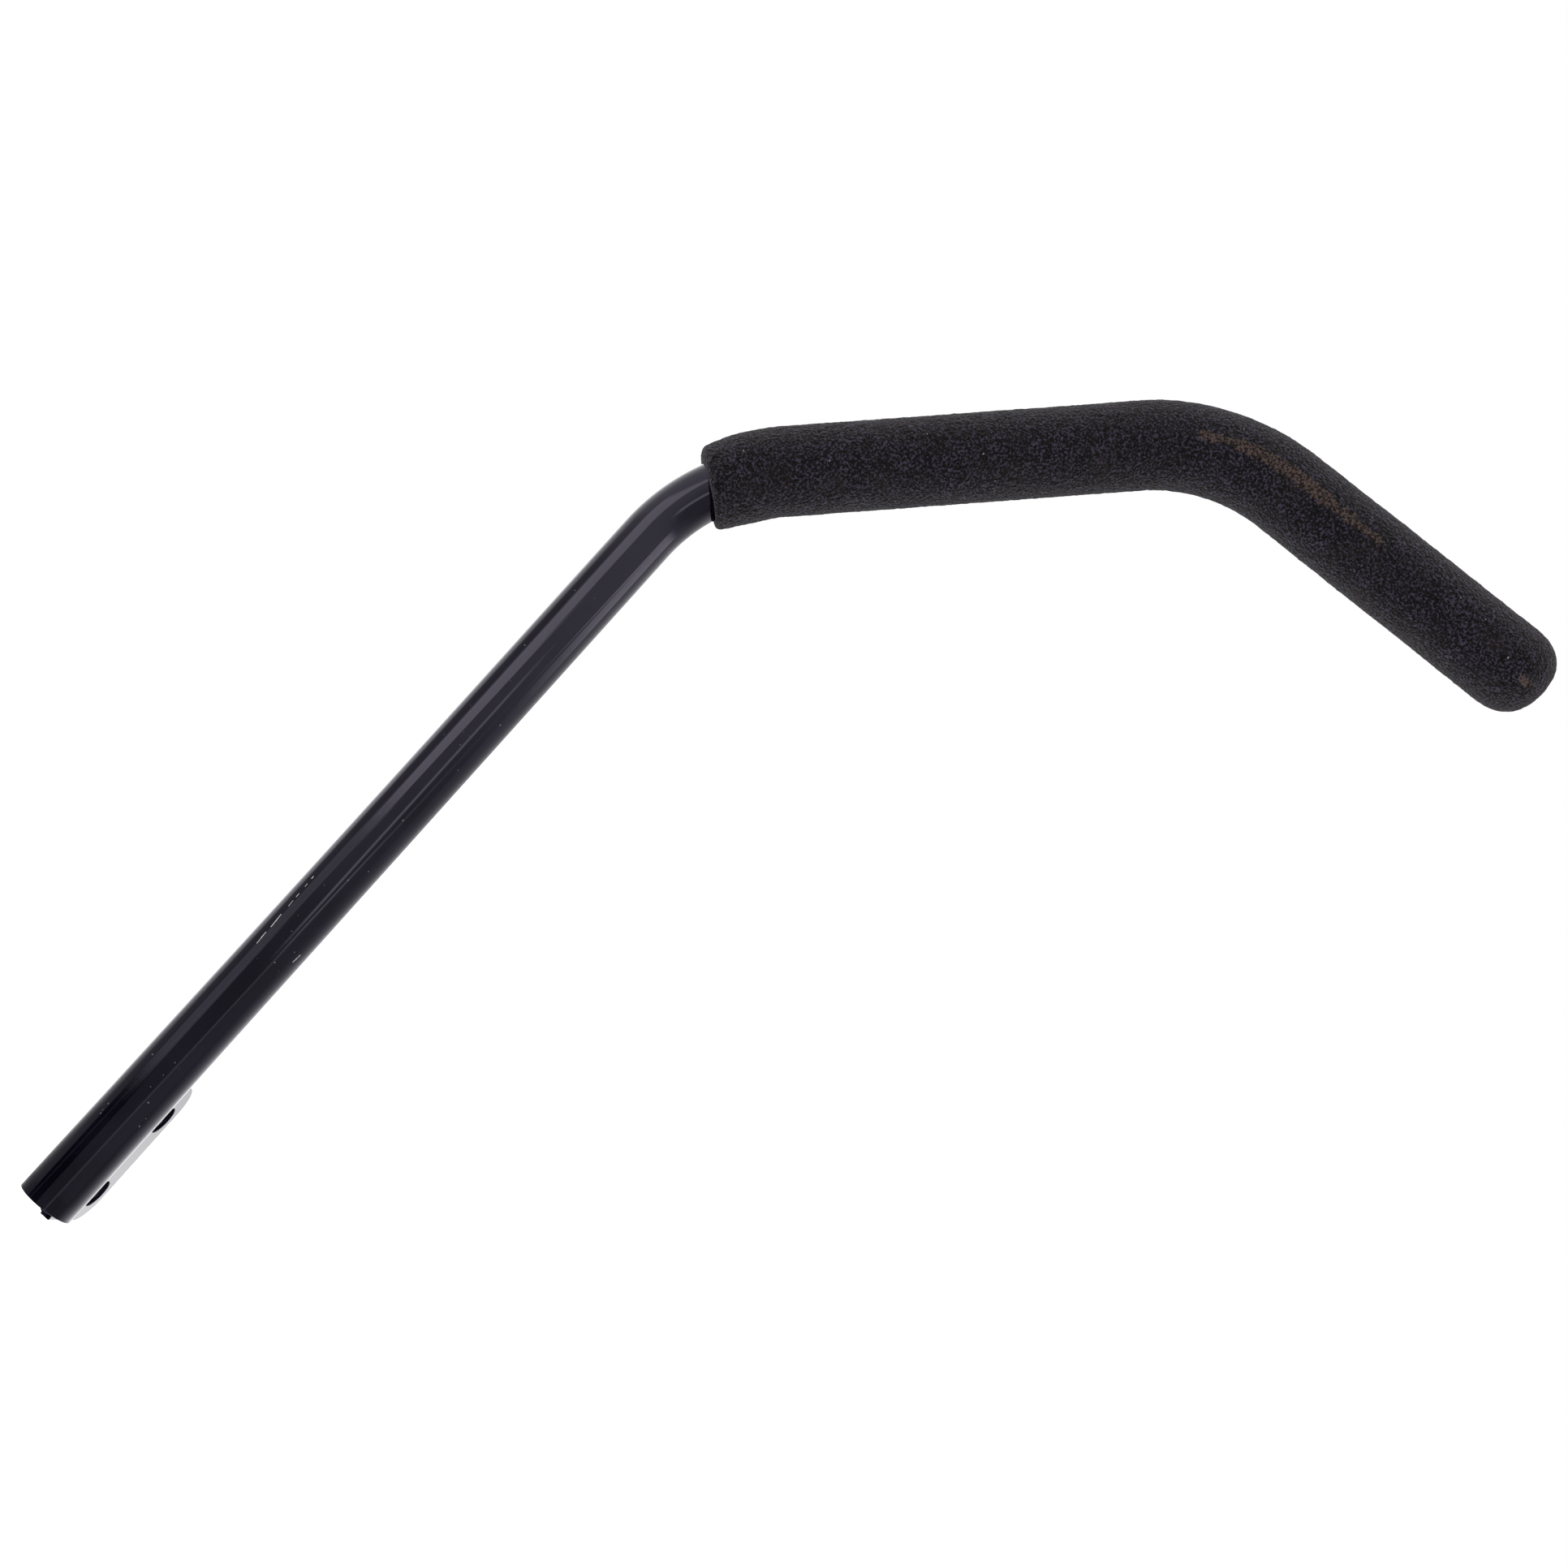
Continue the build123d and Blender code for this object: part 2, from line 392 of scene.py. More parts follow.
def mark_group():
    """A ragged mark along the line from one point to another."""
    sockets = [
        ("Place", "Vector", (0, 0, 0)),
        ("From", "Vector", (0, 0, 0)),
        ("To", "Vector", (0, 0, 0.01)),
        ("Half Width", "Float", 0.001),
        ("Ragged", "Float", 0.5),
        ("Grain", "Float", 0.001),
    ]
    tree, given, made = new_group("Local Mark", sockets, [("Mask", "Float")])
    place, start, end, half, ragged, grain = given.outputs[:6]
    run = vector_calc(tree, "SUBTRACT", end, start)
    offset = vector_calc(tree, "SUBTRACT", place, start)
    along = calc(
        tree,
        "DIVIDE",
        vector_calc(tree, "DOT_PRODUCT", offset, run),
        vector_calc(tree, "DOT_PRODUCT", run, run),
        clamp=True,
    )
    nearest = add(tree, "ShaderNodeVectorMath", {0: run, "Scale": along}, operation="SCALE")
    away = vector_calc(tree, "SUBTRACT", offset, nearest.outputs["Vector"])
    distance = calc(tree, "DIVIDE", vector_calc(tree, "LENGTH", away), half)
    scale = calc(tree, "DIVIDE", 1.0, grain)
    inputs = {"Vector": place, "Scale": scale, "Detail": 2.0, "Roughness": 0.6}
    edge = add(tree, "ShaderNodeTexNoise", inputs)
    waver = calc(tree, "MULTIPLY", calc(tree, "SUBTRACT", edge.outputs["Fac"], 0.5), ragged)
    reach = calc(tree, "ADD", distance, waver)
    tree.links.new(ramp(tree, reach, 0.7, 1.0, 1.0, 0.0), made.inputs["Mask"])
    return tree


def line_highlight_group():
    """A fine line that winds slowly down the straight leg: the mask for a painted highlight."""
    sockets = [
        ("Place", "Vector", (0, 0, 0)),
        ("Angle At Foot", "Float", 0.0),
        ("Half Width", "Float", 0.0005),
    ]
    tree, given, made = new_group("Lengthwise Line Highlight", sockets, [("Mask", "Float")])
    axes = add(tree, "ShaderNodeSeparateXYZ", {"Vector": given.outputs["Place"]}).outputs
    towards_front = calc(tree, "SUBTRACT", AXIS_Y, axes["Y"])
    minus_x = calc(tree, "MULTIPLY", axes["X"], -1.0)
    angle = calc(tree, "ARCTAN2", minus_x, towards_front)
    arc = calc(tree, "SUBTRACT", axes["Z"], FOOT_Z)
    middle = calc(tree, "MULTIPLY_ADD", arc, LINE_DRIFT, given.outputs["Angle At Foot"])
    away = calc(tree, "ABSOLUTE", calc(tree, "SUBTRACT", angle, middle))
    away = calc(tree, "MULTIPLY", away, TUBE_RADIUS)
    away = calc(tree, "DIVIDE", away, given.outputs["Half Width"])
    mask = ramp(tree, away, 0.5, 1.0, 1.0, 0.0)
    on_leg = ramp(tree, arc, 0.5 * LEG, 0.8 * LEG, 1.0, 0.0)
    tree.links.new(calc(tree, "MULTIPLY", mask, on_leg), made.inputs["Mask"])
    return tree


GROUPS = {
    "cloudy": cloudy_group(),
    "specks": specks_group(),
    "mark": mark_group(),
    "line": line_highlight_group(),
}


def new_material(name, constants):
    """A material with its shader's own sockets set; returns it with its tree, shader and place."""
    material = bpy.data.materials.new(name)
    material.use_nodes = True
    tree = material.node_tree
    shader = tree.nodes["Principled BSDF"]
    for key, value in constants.items():
        shader.inputs[key].default_value = value
    place = add(tree, "ShaderNodeTexCoord").outputs["Object"]
    return material, tree, shader, place


def marks_mask(tree, place, marks, ragged, grain):
    """The strongest of several local marks. Each is (start, end, half width)."""
    mask = None
    for start, end, half in marks:
        inputs = {"Place": place, "From": start, "To": end, "Half Width": half}
        mark = use(tree, GROUPS["mark"], inputs | {"Ragged": ragged, "Grain": grain})
        one = mark.outputs["Mask"]
        mask = one if mask is None else calc(tree, "MAXIMUM", mask, one)
    return mask


def enamel(name, dust, chips=(), lines=()):
    """Glossy black enamel with dust specks and, where given, painted highlights along fine lines and
    chips to the primer.
    """
    constants = {"IOR": 1.5, "Metallic": 0.0, "Specular Tint": ENAMEL_GLOSS_TINT}
    material, tree, shader, place = new_material(name, constants)
    inputs = {"Place": place, "Patch Size": 0.035}
    clouds = use(tree, GROUPS["cloudy"], inputs).outputs["Value"]
    colour = blend(tree, clouds, ENAMEL_DEEP, ENAMEL_PALE)
    inputs = {"Place": place, "Spacing": 0.003, "Dot Size": 0.13, "Share": dust}
    specks = use(tree, GROUPS["specks"], inputs).outputs["Mask"]
    colour = blend(tree, specks, colour, ENAMEL_DUST)
    rough = calc(tree, "MULTIPLY_ADD", clouds, ENAMEL_CLOUDED, ENAMEL_ROUGHNESS)
    rough = calc(tree, "MULTIPLY_ADD", specks, DUST_ROUGHNESS, rough)
    inputs = {"Vector": place, "Scale": ORANGE_PEEL_SCALE, "Detail": 2.0}
    peel = add(tree, "ShaderNodeTexNoise", inputs)
    height = calc(tree, "MULTIPLY_ADD", specks, DUST_HEIGHT, peel.outputs["Fac"])
    # Painted highlight: the colour turns towards a lighter grey along the seam and draw line of the
    # leg.
    for angle, half, strength in lines:
        inputs = {"Place": place, "Angle At Foot": angle, "Half Width": half}
        line = use(tree, GROUPS["line"], inputs).outputs["Mask"]
        highlight_amount = calc(tree, "MULTIPLY", line, strength)
        colour = blend(tree, highlight_amount, colour, ENAMEL_LINE_HIGHLIGHT)
    if chips:
        chipped = marks_mask(tree, place, chips, CHIP_RAGGED, CHIP_GRAIN)
        colour = blend(tree, chipped, colour, PRIMER)
        rough = calc(tree, "MULTIPLY_ADD", chipped, CHIP_ROUGHNESS, rough)
        height = calc(tree, "MULTIPLY_ADD", chipped, CHIP_HEIGHT, height)
    inputs = {"Height": height, "Strength": 0.10, "Distance": ENAMEL_RELIEF}
    bump = add(tree, "ShaderNodeBump", inputs)
    tree.links.new(colour, shader.inputs["Base Color"])
    tree.links.new(rough, shader.inputs["Roughness"])
    tree.links.new(bump.outputs["Normal"], shader.inputs["Normal"])
    return material


def foam_skin(dusty_marks):
    """Charcoal closed-cell foam: open pores darkened with painted shade, lighter grains, faint brown
    mottling and dust.
    """
    constants = {"IOR": 1.4, "Specular IOR Level": 0.04, "Sheen Weight": 0.11}
    constants |= {"Sheen Roughness": 0.6, "Sheen Tint": FOAM_SHEEN_TINT}
    material, tree, shader, place = new_material("charcoal_foam", constants)
    inputs = {"Vector": place, "Scale": FOAM_GRAIN_SCALE, "Detail": 3.0, "Roughness": 0.55}
    grain = add(tree, "ShaderNodeTexNoise", inputs).outputs["Fac"]
    inputs = {"Vector": place, "Scale": FOAM_PORE_SCALE, "Randomness": 1.0}
    pores = add(tree, "ShaderNodeTexVoronoi", inputs).outputs["Distance"]
    clumps = use(tree, GROUPS["cloudy"], {"Place": place, "Patch Size": 0.009}).outputs["Value"]
    # Painted shade: the grain's tone falls to near black, and the pores' cells darken the colour
    # further.
    tone = ramp(tree, grain, 0.46, 0.61)
    colour = blend(tree, tone, FOAM_PORE_SHADE, FOAM_GRAIN)
    warm = use(tree, GROUPS["cloudy"], {"Place": place, "Patch Size": 0.016}).outputs["Value"]
    warm = calc(tree, "MULTIPLY", calc(tree, "POWER", warm, 4.0), 0.4)
    colour = blend(tree, warm, colour, FOAM_MOTTLE)
    shade = calc(tree, "MULTIPLY_ADD", clumps, 0.35, 0.75)
    pore_shade = ramp(tree, pores, 0.22, 0.50, 0.0, 1.0)
    shade = calc(tree, "MULTIPLY", shade, pore_shade)
    dark = add(tree, "ShaderNodeMix", data_type="RGBA", blend_type="MULTIPLY")
    dark.inputs[0].default_value = 1.0
    tree.links.new(colour, dark.inputs[6])
    tree.links.new(shade, dark.inputs[7])
    colour = dark.outputs[2]
    dusty = marks_mask(tree, place, dusty_marks, RUB_RAGGED, RUB_GRAIN)
    dusty = calc(tree, "MULTIPLY", dusty, ramp(tree, grain, 0.40, 0.62, 0.05, 0.66))
    colour = blend(tree, dusty, colour, BROWN_DUST)
    inputs = {"Place": place, "Spacing": 0.0036, "Dot Size": 0.12, "Share": 0.06}
    specks = use(tree, GROUPS["specks"], inputs).outputs["Mask"]
    colour = blend(tree, specks, colour, FOAM_FLECK)
    height = calc(tree, "MULTIPLY_ADD", pores, 0.8, grain)
    inputs = {"Height": height, "Strength": 1.0, "Distance": FOAM_RELIEF}
    bump = add(tree, "ShaderNodeBump", inputs)
    tree.links.new(colour, shader.inputs["Base Color"])
    tree.links.new(ramp(tree, grain, 0.2, 0.8, 0.98, 0.82), shader.inputs["Roughness"])
    tree.links.new(bump.outputs["Normal"], shader.inputs["Normal"])
    return material


def plug_plastic():
    """Moulded black plastic with a fine matte grain."""
    material, tree, shader, place = new_material("plug_plastic", {"IOR": 1.46})
    clouds = use(tree, GROUPS["cloudy"], {"Place": place, "Patch Size": 0.006}).outputs["Value"]
    colour = blend(tree, clouds, PLUG_DEEP, PLUG_PALE)
    grain = add(tree, "ShaderNodeTexNoise", {"Vector": place, "Scale": 1800.0, "Detail": 2.0})
    inputs = {"Height": grain.outputs["Fac"], "Strength": 0.3, "Distance": 0.0001}
    bump = add(tree, "ShaderNodeBump", inputs)
    tree.links.new(colour, shader.inputs["Base Color"])
    tree.links.new(ramp(tree, clouds, 0.0, 1.0, 0.42, 0.58), shader.inputs["Roughness"])
    tree.links.new(bump.outputs["Normal"], shader.inputs["Normal"])
    return material


# ---- pieces --------------------------------------------------------------------------------------
def tube_angles():
    """Angles round the tube, as steps from its seam, closer together at the seam and draw line."""
    lines = (0.0, DRAW_LINE_ANGLE - SEAM_ANGLE)
    fine = np.radians(np.arange(-LINE_REACH, LINE_REACH + LINE_STEP / 2, LINE_STEP))
    even = np.radians(np.arange(-180, 180, ROUND_STEP))
    for line in lines:
        even = even[np.abs(even - line) > math.radians(LINE_REACH + 1)]
    return np.sort(np.concatenate([line + fine for line in lines] + [even]))


def tube_stations():
    """Lengths along the tube for its rings, closer together in the bends."""
    runs = [
        spread(RIM_ROUND, FIRST_BEND_AT, STRAIGHT_STEP)[:-1],
        spread(FIRST_BEND_AT, MIDDLE_AT, BEND_STEP)[:-1],
        spread(MIDDLE_AT, SECOND_BEND_AT, STRAIGHT_STEP)[:-1],
        spread(SECOND_BEND_AT, TAIL_AT, BEND_STEP)[:-1],
        spread(TAIL_AT, TUBE_LENGTH, STRAIGHT_STEP),
    ]
    return np.concatenate(runs)


def foot_rim():
    """The rounded rim at the tube's foot, from its bore to its outside: lengths and radii."""
    turn = np.radians([22.5, 45, 67.5])
    inner = [(RIM_ROUND * (1 - math.sin(a)), TUBE_BORE + RIM_ROUND * (1 - math.cos(a))) for a in turn]
    outer = [(arc, TUBE_RADIUS + TUBE_BORE - radius) for arc, radius in reversed(inner)]
    faces = [(0, TUBE_BORE + RIM_ROUND), (0, TUBE_RADIUS - RIM_ROUND)]
    return inner + faces + outer


def line_height(angles, middle, width, proud):
    """How far a fine lengthwise line stands out at each angle round the tube."""
    away = (angles - middle) * TUBE_RADIUS / width
    return proud * np.exp(-(away**2))


def grip_tube():
    """The bent tube: outer wall with its faint seam and draw line, open bore and rounded foot."""
    angles = tube_angles()
    stations = tube_stations()
    lines = line_height(angles, 0.0, SEAM_WIDTH, SEAM_PROUD)
    draw_line = DRAW_LINE_ANGLE - SEAM_ANGLE
    lines += line_height(angles, draw_line, DRAW_LINE_WIDTH, DRAW_LINE_PROUD)

    def ring(arc, radius):
        return round_axis(arc, angles + SEAM_ANGLE + LINE_DRIFT * arc, radius)

    rings = [ring(arc, TUBE_RADIUS + lines) for arc in stations]
    rings += [ring(arc, TUBE_BORE) for arc in stations[::-1]]
    rings += [ring(arc, radius) for arc, radius in foot_rim()]
    return skin("painted_tube", np.array(rings), wrap=True)


def mouth_shear(angles, radius):
    """How far along the axis the foam's slanted mouth lies at each angle, from its middle.

    The axis is curved there, so the answer is reached in a few steps.
    """
    x, z, turn = axis_at(MOUTH_AT)
    lean = turn + MOUTH_SLANT
    shift = np.zeros_like(angles)
    for _ in range(6):
        points = round_axis(MOUTH_AT + shift, angles, radius)
        gap = (points[:, 0] - x) * math.sin(lean) + (points[:, 2] - z) * math.cos(lean)
        shift -= gap
    return shift


def foam_profile():
    """Lengths past the mouth and radii, from the bore's bottom round the mouth to the nose."""
    run = FOAM_LENGTH - MOUTH_AT
    bore_depth = TUBE_LENGTH + PLUG_HEAD - MOUTH_AT
    bore = [(arc, FOAM_BORE) for arc in spread(bore_depth, BORE_LIP, FOAM_BORE_STEP)]
    face_radii = spread(FOAM_BORE + BORE_CORNER, FOAM_RADIUS - MOUTH_ROUND, FOAM_STEP)
    face = [(0.0, radius) for radius in face_radii]
    corner = []
    for a in np.radians(np.arange(MOUTH_TURN_STEP, 90, MOUTH_TURN_STEP)):
        arc = MOUTH_ROUND * (1 - math.cos(a))
        corner.append((arc, FOAM_RADIUS - MOUTH_ROUND * (1 - math.sin(a))))
    wall = [(arc, FOAM_RADIUS) for arc in spread(MOUTH_ROUND, run - NOSE_LENGTH, FOAM_STEP)]
    nose = []
    for a in np.radians(spread(NOSE_TURN_STEP, NOSE_TURN_END, NOSE_TURN_STEP)):
        arc = NOSE_LENGTH * math.sin(a) ** (2 / NOSE_POWER)
        nose.append((run - NOSE_LENGTH + arc, FOAM_RADIUS * math.cos(a) ** (2 / NOSE_POWER)))
    return bore + face + corner + wall + nose, len(bore)


def foam_grain(point):
    """How far the foam's surface stands out at a point: swells, clumps, grains and pores."""
    place = Vector(point)
    height = sum(tall * noise.noise(place / (wide * MM)) for tall, wide in FOAM_BUMPS)
    from_pore = noise.voronoi(place / PORE_SPACING)[0][0]
    pore = PORE_DEPTH * max(0.0, PORE_REACH - from_pore) / PORE_REACH
    return (height - pore - GRAIN_SINK) * MM


def foam_grip():
    """The moulded foam sleeve, with its slanted mouth, closed round nose and grained surface."""
    angles = np.radians(np.arange(FOAM_ROUND_COUNT) * 360 / FOAM_ROUND_COUNT)
    profile, bore_count = foam_profile()
    tuck = np.where(np.sin(angles) < 0, INNER_TUCK, OUTER_TUCK) * np.abs(np.sin(angles))
    rings = []
    for row, (arc, radius) in enumerate(profile):
        ease = max(0.0, 1 - arc / MOUTH_BLEND) ** 2
        stations = MOUTH_AT + arc + ease * mouth_shear(angles, radius)
        if row < bore_count:
            rings.append(round_axis(stations, angles, radius))
            continue
        drawn_in = tuck * max(0.0, 1 - arc / TUCK_LENGTH) ** 2 / (FOAM_RADIUS - FOAM_BORE)
        radii = FOAM_BORE + (radius - FOAM_BORE) * (1 - drawn_in)
        rings.append(push_out(round_axis(stations, angles, radii), stations, radii))
    return skin("foam_sleeve", np.array(rings))


def push_out(points, stations, radii):
    """Moves a ring of foam points by the foam's own grain: outwards, and forwards on the nose."""
    x, z, turn = axis_at(stations)
    centre = np.stack((x, np.full_like(x, AXIS_Y), z), -1)
    outward = (points - centre) / np.maximum(radii, 0.001 * MM)[:, None]
    heights = np.array([foam_grain(p) for p in points.tolist()])
    ease = np.clip((radii - FOAM_BORE) / GRAIN_FADE, 0, 1)
    nose = np.clip((stations - (FOAM_LENGTH - NOSE_LENGTH)) / NOSE_LENGTH, 0, 1) ** 2
    along = np.stack((np.sin(turn), np.zeros_like(turn), np.cos(turn)), -1)
    ease = np.where(nose > 0, 1.0, ease)
    direction = outward * (1 - nose)[:, None] + along * nose[:, None]
    return points + direction * (heights * ease)[:, None]


def bead_ring(side, z, size):
    """One closed ring of a weld bead's section: a rippled crown and a corner inside the joint."""
    toe_x = TAB_FACE + WELD_LEG * size
    toe = Vector((toe_x, math.sqrt(TUBE_RADIUS**2 - toe_x**2) - WELD_TOE_SINK))
    root = Vector((TAB_FACE - WELD_ROOT_SINK, TUBE_RADIUS + WELD_LEG * size))
    chord = root - toe
    out = Vector((-chord.y, chord.x)).normalized()
    if out.x < 0:
        out = -out
    ring = []
    for k in range(WELD_SECTION_STEPS + 1):
        t = k / WELD_SECTION_STEPS
        crown = math.sin(math.pi * t)
        phase = (z / WELD_RIPPLE - WELD_RIPPLE_BOW * crown) % 1
        ripple = WELD_RIPPLE_HEIGHT * (1 - phase) * crown
        wander = WELD_WANDER * noise.noise(Vector((side * 3, t * 2, z / (5 * MM)))) * crown
        point = toe + chord * t + out * (WELD_BULGE * crown * size + ripple + wander)
        ring.append((side * point.x, AXIS_Y + point.y, z))
    across, into = WELD_CORNER_SINK
    inner = ((TAB_FACE - across, TUBE_BORE + into), (toe_x - across, toe.y - into))
    ring += [(side * x, AXIS_Y + y, z) for x, y in inner]
    return ring


def bead_foot(t):
    """A ring of the left bead's foot, where it turns under the tube's end and thins out."""
    z = FOOT_Z - WELD_FOOT_DROP * t
    width = WELD_FOOT_WIDTH * math.sqrt(max(0.0, 1 - t**1.6)) + WELD_FOOT_TIP
    depth = WELD_FOOT_DEPTH * math.sqrt(max(0.0, 1 - 0.7 * t**2))
    middle = AXIS_Y + TUBE_RADIUS - WELD_TOE_SINK
    ring = []
    for k in range(WELD_SECTION_STEPS + 1):
        turn = math.pi * k / WELD_SECTION_STEPS
        bump = 1 + 0.10 * noise.noise(Vector((k * 0.4, t * 3, 2.0)))
        x = -TAB_FACE - width * math.sin(turn) * bump
        ring.append((x, middle - depth * math.cos(turn), z))
    inner_x = -TAB_FACE + WELD_ROOT_SINK
    return ring + [(inner_x, middle + depth, z), (inner_x, middle - depth, z)]


def weld_bead(name, side):
    """A weld bead down the joint between the tube and the tab, tapering at its ends."""
    rings = []
    if side < 0:
        rings += [bead_foot(t) for t in WELD_FOOT_STEPS]
    start = FOOT_Z + WELD_START
    for z in spread(start, WELD_TOP, WELD_STEP):
        lower = (z - start) / WELD_RISE if side > 0 else 1.0
        ends = min(lower, (WELD_TOP - z) / WELD_FALL, 1.0)
        size = WELD_END_SIZE + (1 - WELD_END_SIZE) * math.sqrt(max(0.0, 1 - (1 - ends) ** 2))
        size *= 1 + WELD_UNEVEN * noise.noise(Vector((0, side, z * 90)))
        rings.append(bead_ring(side, z, size))
    return skin(name, np.array(rings))


def finish_piece(piece, material, node):
    """Gives a new piece its material, and lets it stand for the part's own solid."""
    piece.data.materials.append(material)
    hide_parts(node)
    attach(piece, "root")


def refinish(node, material):
    """Gives one of the part's own solids its finished material."""
    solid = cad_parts[node]
    solid.data.materials.clear()
    solid.data.materials.append(material)


def surface_point(arc, degrees, radius):
    """A point on the tube or foam as a plain tuple."""
    return tuple(round_axis(arc * MM, math.radians(degrees), radius).tolist())


def paint_chips():
    """Chips in the leg's paint: one long broken scratch and a nick on the other side."""
    chips = []
    dice = random.Random(5)
    for k in range(SCRATCH_CHIPS):
        along = k / (SCRATCH_CHIPS - 1)
        arc = SCRATCH_FROM[0] + (SCRATCH_TO[0] - SCRATCH_FROM[0]) * along**SCRATCH_CROWDING
        arc += dice.uniform(-SCRATCH_STRAY, SCRATCH_STRAY)
        degrees = SCRATCH_FROM[1] + (SCRATCH_TO[1] - SCRATCH_FROM[1]) * along
        length = dice.uniform(0.5, 1.2) * SCRATCH_LONGEST * (1 - along) ** 1.5 + SCRATCH_SHORTEST
        half = dice.uniform(0.6, 1.1) * CHIP_HALF_WIDTH
        start = surface_point(arc, degrees, TUBE_RADIUS)
        end = surface_point(arc + length, degrees + SCRATCH_LEAN * length, TUBE_RADIUS)
        chips.append((start, end, half))
    nick = [surface_point(arc, degrees, TUBE_RADIUS) for arc, degrees in (NICK_FROM, NICK_TO)]
    return chips + [(nick[0], nick[1], CHIP_HALF_WIDTH)]


def dusty_rubs():
    """Brown dust rubbed into the foam along the second bend, widest halfway, and on its nose."""
    rubs = []
    arcs = spread(RUB_FROM, RUB_TO, RUB_LENGTH_STEP)
    for start, end in zip(arcs, arcs[1:]):
        along = ((start + end) / 2 - arcs[0]) / (arcs[-1] - arcs[0])
        half = RUB_END_HALF_WIDTH + RUB_SWELL * math.sin(math.pi * along)
        ends = [surface_point(arc, RUB_ANGLE, FOAM_RADIUS) for arc in (start, end)]
        rubs.append((ends[0], ends[1], half))
    first = TUBE_LENGTH / MM - NOSE_RUB_BACK
    arcs = (first, first + NOSE_RUB_LENGTH)
    ends = [surface_point(arc, NOSE_RUB_ANGLE, 0.9 * FOAM_RADIUS) for arc in arcs]
    return rubs + [(ends[0], ends[1], NOSE_RUB_HALF_WIDTH)]


# ---- studio --------------------------------------------------------------------------------------
CAMERA_PLACE = Vector((0.216, -0.876, 0.136))
CAMERA_TURN = 6.6  # degrees to the left of straight along +Y
CAMERA_TILT = 11.43  # degrees above level
CAMERA_ROLL = 40.52
CAMERA_LENS = 44.47
FLOOR_HALF = 8.0
FLOOR_DROP = 0.30  # below the part's lowest point
OVERHEAD_SIZE = (1.6, 1.2)
OVERHEAD_PLACE = (0.15, -0.1, 2.0)
OVERHEAD_POWER = 9.0


def pale_floor():
    """A broad matt floor well below the rail, which hangs clear of it."""
    material, tree, shader, place = new_material("pale_floor", {"Roughness": 0.9})
    clouds = use(tree, GROUPS["cloudy"], {"Place": place, "Patch Size": 0.8}).outputs["Value"]
    colour = blend(tree, clouds, FLOOR_GREY, FLOOR_WHITE)
    tree.links.new(colour, shader.inputs["Base Color"])
    mesh = bpy.data.meshes.new("floor")
    corners = [(x * FLOOR_HALF, y * FLOOR_HALF, 0) for x, y in ((-1, -1), (1, -1), (1, 1), (-1, 1))]
    mesh.from_pydata(corners, [], [(0, 1, 2, 3)])
    floor = bpy.data.objects.new("floor", mesh)
    floor.location = (0, 0, cad_box[0].z - FLOOR_DROP)
    floor.visible_glossy = False
    mesh.materials.append(material)
    bpy.context.scene.collection.objects.link(floor)


# Directions are in degrees. A side is 0 towards -Y and 90 towards +X, and a rise is 0 at level.
# Each sweep of light eases from one brightness to another between two angles.
ALL_ROUND_RISE = (-11.0, 26.0, 0.25, 1.05)
LEFT_SHEET_RISE = 2.0
LEFT_SHEET_PEAK = (0.0, 13.0, 3.8, 1.15)  # by how far from that rise
LEFT_SHEET_NEAR = (-80.0, -108.0, 0.0, 0.4)
LEFT_SHEET_FAR = (-110.0, -136.0, 0.0, 0.6)
LEFT_SHEET_FOOT = (-11.5, -7.5, 0.25, 1.0)
RIGHT_SHEET_SIDE = (80.0, 165.0, 0.0, 1.45)
RIGHT_SHEET_RISE = (-16.0, 9.0, 1.5, 0.27)
BRIGHT_TOP = (26.0, 60.0, 0.0, 0.35)

# Soft boxes, and dark flags, which are laid in this order over every sweep but the bright top.
SoftBox = namedtuple("SoftBox", "side rise half_width half_height softness brightness")
SOFT_BOXES = {
    "dark floor": SoftBox(0, -50, 60, 49, 3, 0.22),
    "right flag": SoftBox(56, -2, 24, 9, 3, 0.38),
    "left flag": SoftBox(-76, 1, 16, 13, 3, 0.38),
    "lower left box": SoftBox(-42, -2, 18, 5, 1.5, 0.90),
    "upper left box": SoftBox(-35, 12, 18, 9, 1.5, 2.30),
    "left floor flag": SoftBox(-39, -19, 23, 12, 1, 0.0),
    "front strip": SoftBox(25, 4, 4, 5, 1.5, 1.9),
    "right box": SoftBox(90, 24, 15, 14, 3, 2.6),
}


def lay_box(tree, side, rise, behind, box):
    """Lays one soft-edged box of light, or a flag, over the light behind it."""
    edges = []
    for angle, middle, half in ((side, box.side, box.half_width), (rise, box.rise, box.half_height)):
        away = calc(tree, "ABSOLUTE", calc(tree, "SUBTRACT", angle, middle))
        edges.append(ramp(tree, away, half - box.softness, half + box.softness, 1.0, 0.0))
    mask = calc(tree, "MULTIPLY", *edges)
    step = calc(tree, "SUBTRACT", box.brightness, behind)
    return calc(tree, "MULTIPLY_ADD", step, mask, behind)


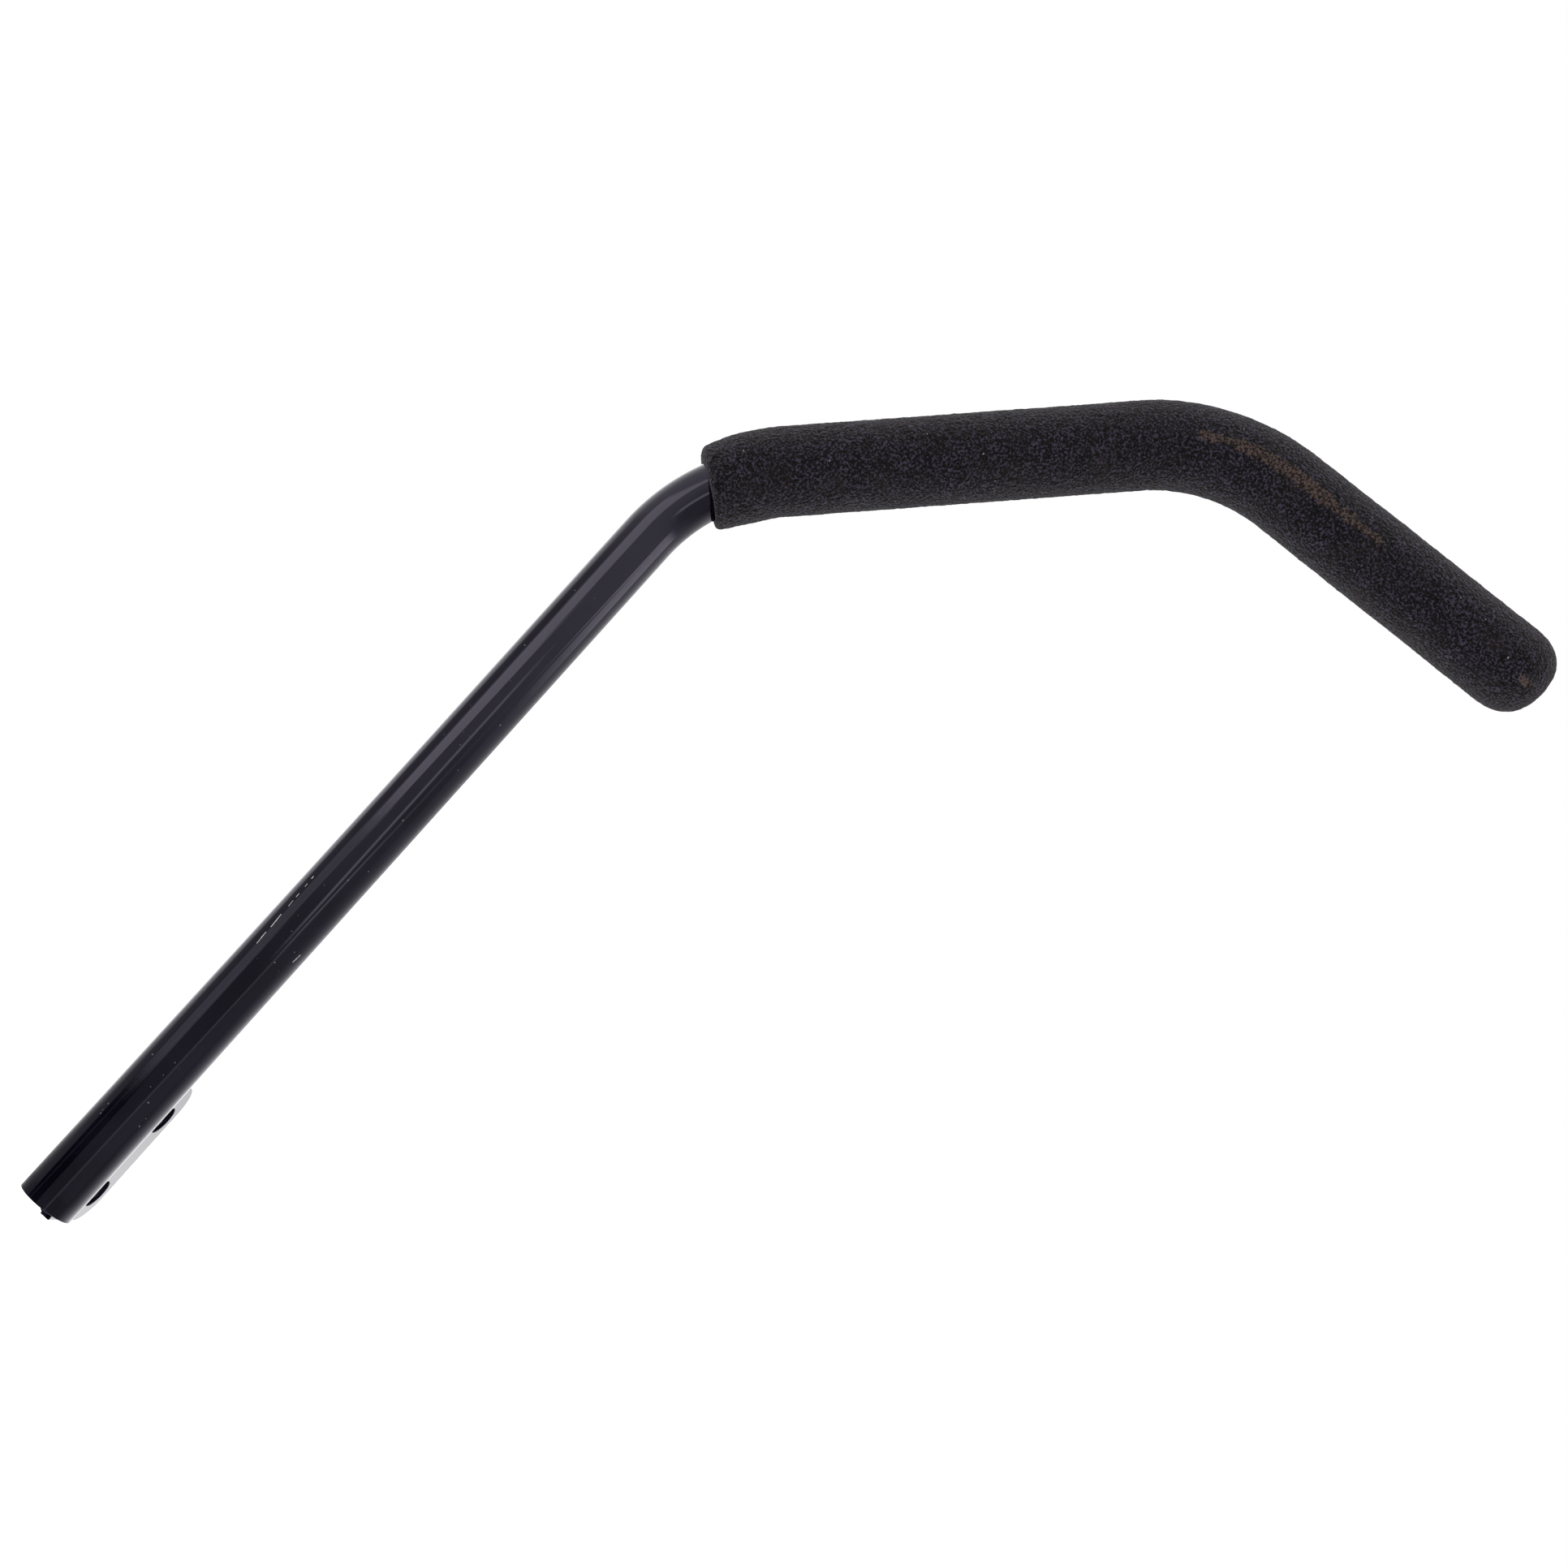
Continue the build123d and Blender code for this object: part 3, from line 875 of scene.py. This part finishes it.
def studio_glow(tree):
    """The light by direction: an even sweep all round, two back sheets, the boxes and a top."""
    way = add(tree, "ShaderNodeTexCoord").outputs["Generated"]
    axes = add(tree, "ShaderNodeSeparateXYZ", {"Vector": way}).outputs
    minus_y = calc(tree, "MULTIPLY", axes["Y"], -1.0)
    side = calc(tree, "DEGREES", calc(tree, "ARCTAN2", axes["X"], minus_y))
    rise = calc(tree, "DEGREES", calc(tree, "ARCSINE", axes["Z"]))
    all_round = ramp(tree, rise, *ALL_ROUND_RISE)
    from_peak = calc(tree, "ABSOLUTE", calc(tree, "SUBTRACT", rise, LEFT_SHEET_RISE))
    near = ramp(tree, side, *LEFT_SHEET_NEAR)
    sheet = calc(tree, "ADD", near, ramp(tree, side, *LEFT_SHEET_FAR))
    left = calc(tree, "MULTIPLY", ramp(tree, from_peak, *LEFT_SHEET_PEAK), sheet)
    left = calc(tree, "MULTIPLY", left, ramp(tree, rise, *LEFT_SHEET_FOOT))
    right = ramp(tree, side, *RIGHT_SHEET_SIDE)
    right = calc(tree, "MULTIPLY", right, ramp(tree, rise, *RIGHT_SHEET_RISE))
    light = calc(tree, "ADD", calc(tree, "ADD", all_round, left), right)
    for box in SOFT_BOXES.values():
        light = lay_box(tree, side, rise, light, box)
    return calc(tree, "ADD", light, ramp(tree, rise, *BRIGHT_TOP))


def studio():
    """The camera sees a plain white surround, and the soft boxes light the rail and the floor."""
    world = bpy.data.worlds.new("studio")
    bpy.context.scene.world = world
    world.use_nodes = True
    tree = world.node_tree
    tree.nodes.clear()
    glow = add(tree, "ShaderNodeBackground", {"Color": (1, 1, 1, 1), "Strength": studio_glow(tree)})
    white = add(tree, "ShaderNodeBackground", {"Color": (1, 1, 1, 1), "Strength": 1.0})
    path = add(tree, "ShaderNodeLightPath")
    shown = add(
        tree,
        "ShaderNodeMixShader",
        {0: path.outputs["Is Camera Ray"], 1: glow.outputs[0], 2: white.outputs[0]},
    )
    add(tree, "ShaderNodeOutputWorld", {"Surface": shown.outputs[0]})


def overhead_light():
    """A large soft light above the rail."""
    data = bpy.data.lights.new("overhead_soft_light", "AREA")
    data.shape = "RECTANGLE"
    data.size, data.size_y = OVERHEAD_SIZE
    data.energy = OVERHEAD_POWER
    light = bpy.data.objects.new("overhead_soft_light", data)
    light.location = OVERHEAD_PLACE
    light.visible_camera = False
    bpy.context.scene.collection.objects.link(light)


def camera():
    """The camera, below the grip, looking up and rolled so that the leg leans to the right."""
    data = bpy.data.cameras.new("camera")
    data.sensor_width = 36.0
    data.lens = CAMERA_LENS
    data.clip_start = 0.05
    data.clip_end = 50.0
    turn = Matrix.Rotation(math.radians(CAMERA_TURN), 4, "Z")
    tilt = Matrix.Rotation(math.radians(90 + CAMERA_TILT), 4, "X")
    roll = Matrix.Rotation(math.radians(CAMERA_ROLL), 4, "Z")
    eye = bpy.data.objects.new("camera", data)
    eye.matrix_world = Matrix.Translation(CAMERA_PLACE) @ turn @ tilt @ roll
    bpy.context.scene.collection.objects.link(eye)
    bpy.context.scene.camera = eye


def main():
    """Builds every piece, then the studio."""
    tube_paint = enamel("tube_enamel", dust=0.30, chips=paint_chips(), lines=LINE_HIGHLIGHTS)
    plate_paint = enamel("tab_enamel", dust=0.16)
    weld_paint = enamel("weld_enamel", dust=0.08)
    foam = foam_skin(dusty_rubs())
    finish_piece(grip_tube(), tube_paint, "grip_tube")
    sleeve = foam_grip()
    finish_piece(sleeve, foam, "foam_grip")
    finish_piece(weld_bead("right_bead", 1), weld_paint, "right_weld_bead")
    finish_piece(weld_bead("left_bead", -1), weld_paint, "left_weld_bead")
    refinish("mounting_tab", plate_paint)
    refinish("tube_end_plug", plug_plastic())
    pale_floor()
    studio()
    overhead_light()
    camera()
    bpy.context.scene.view_settings.view_transform = "Standard"


main()
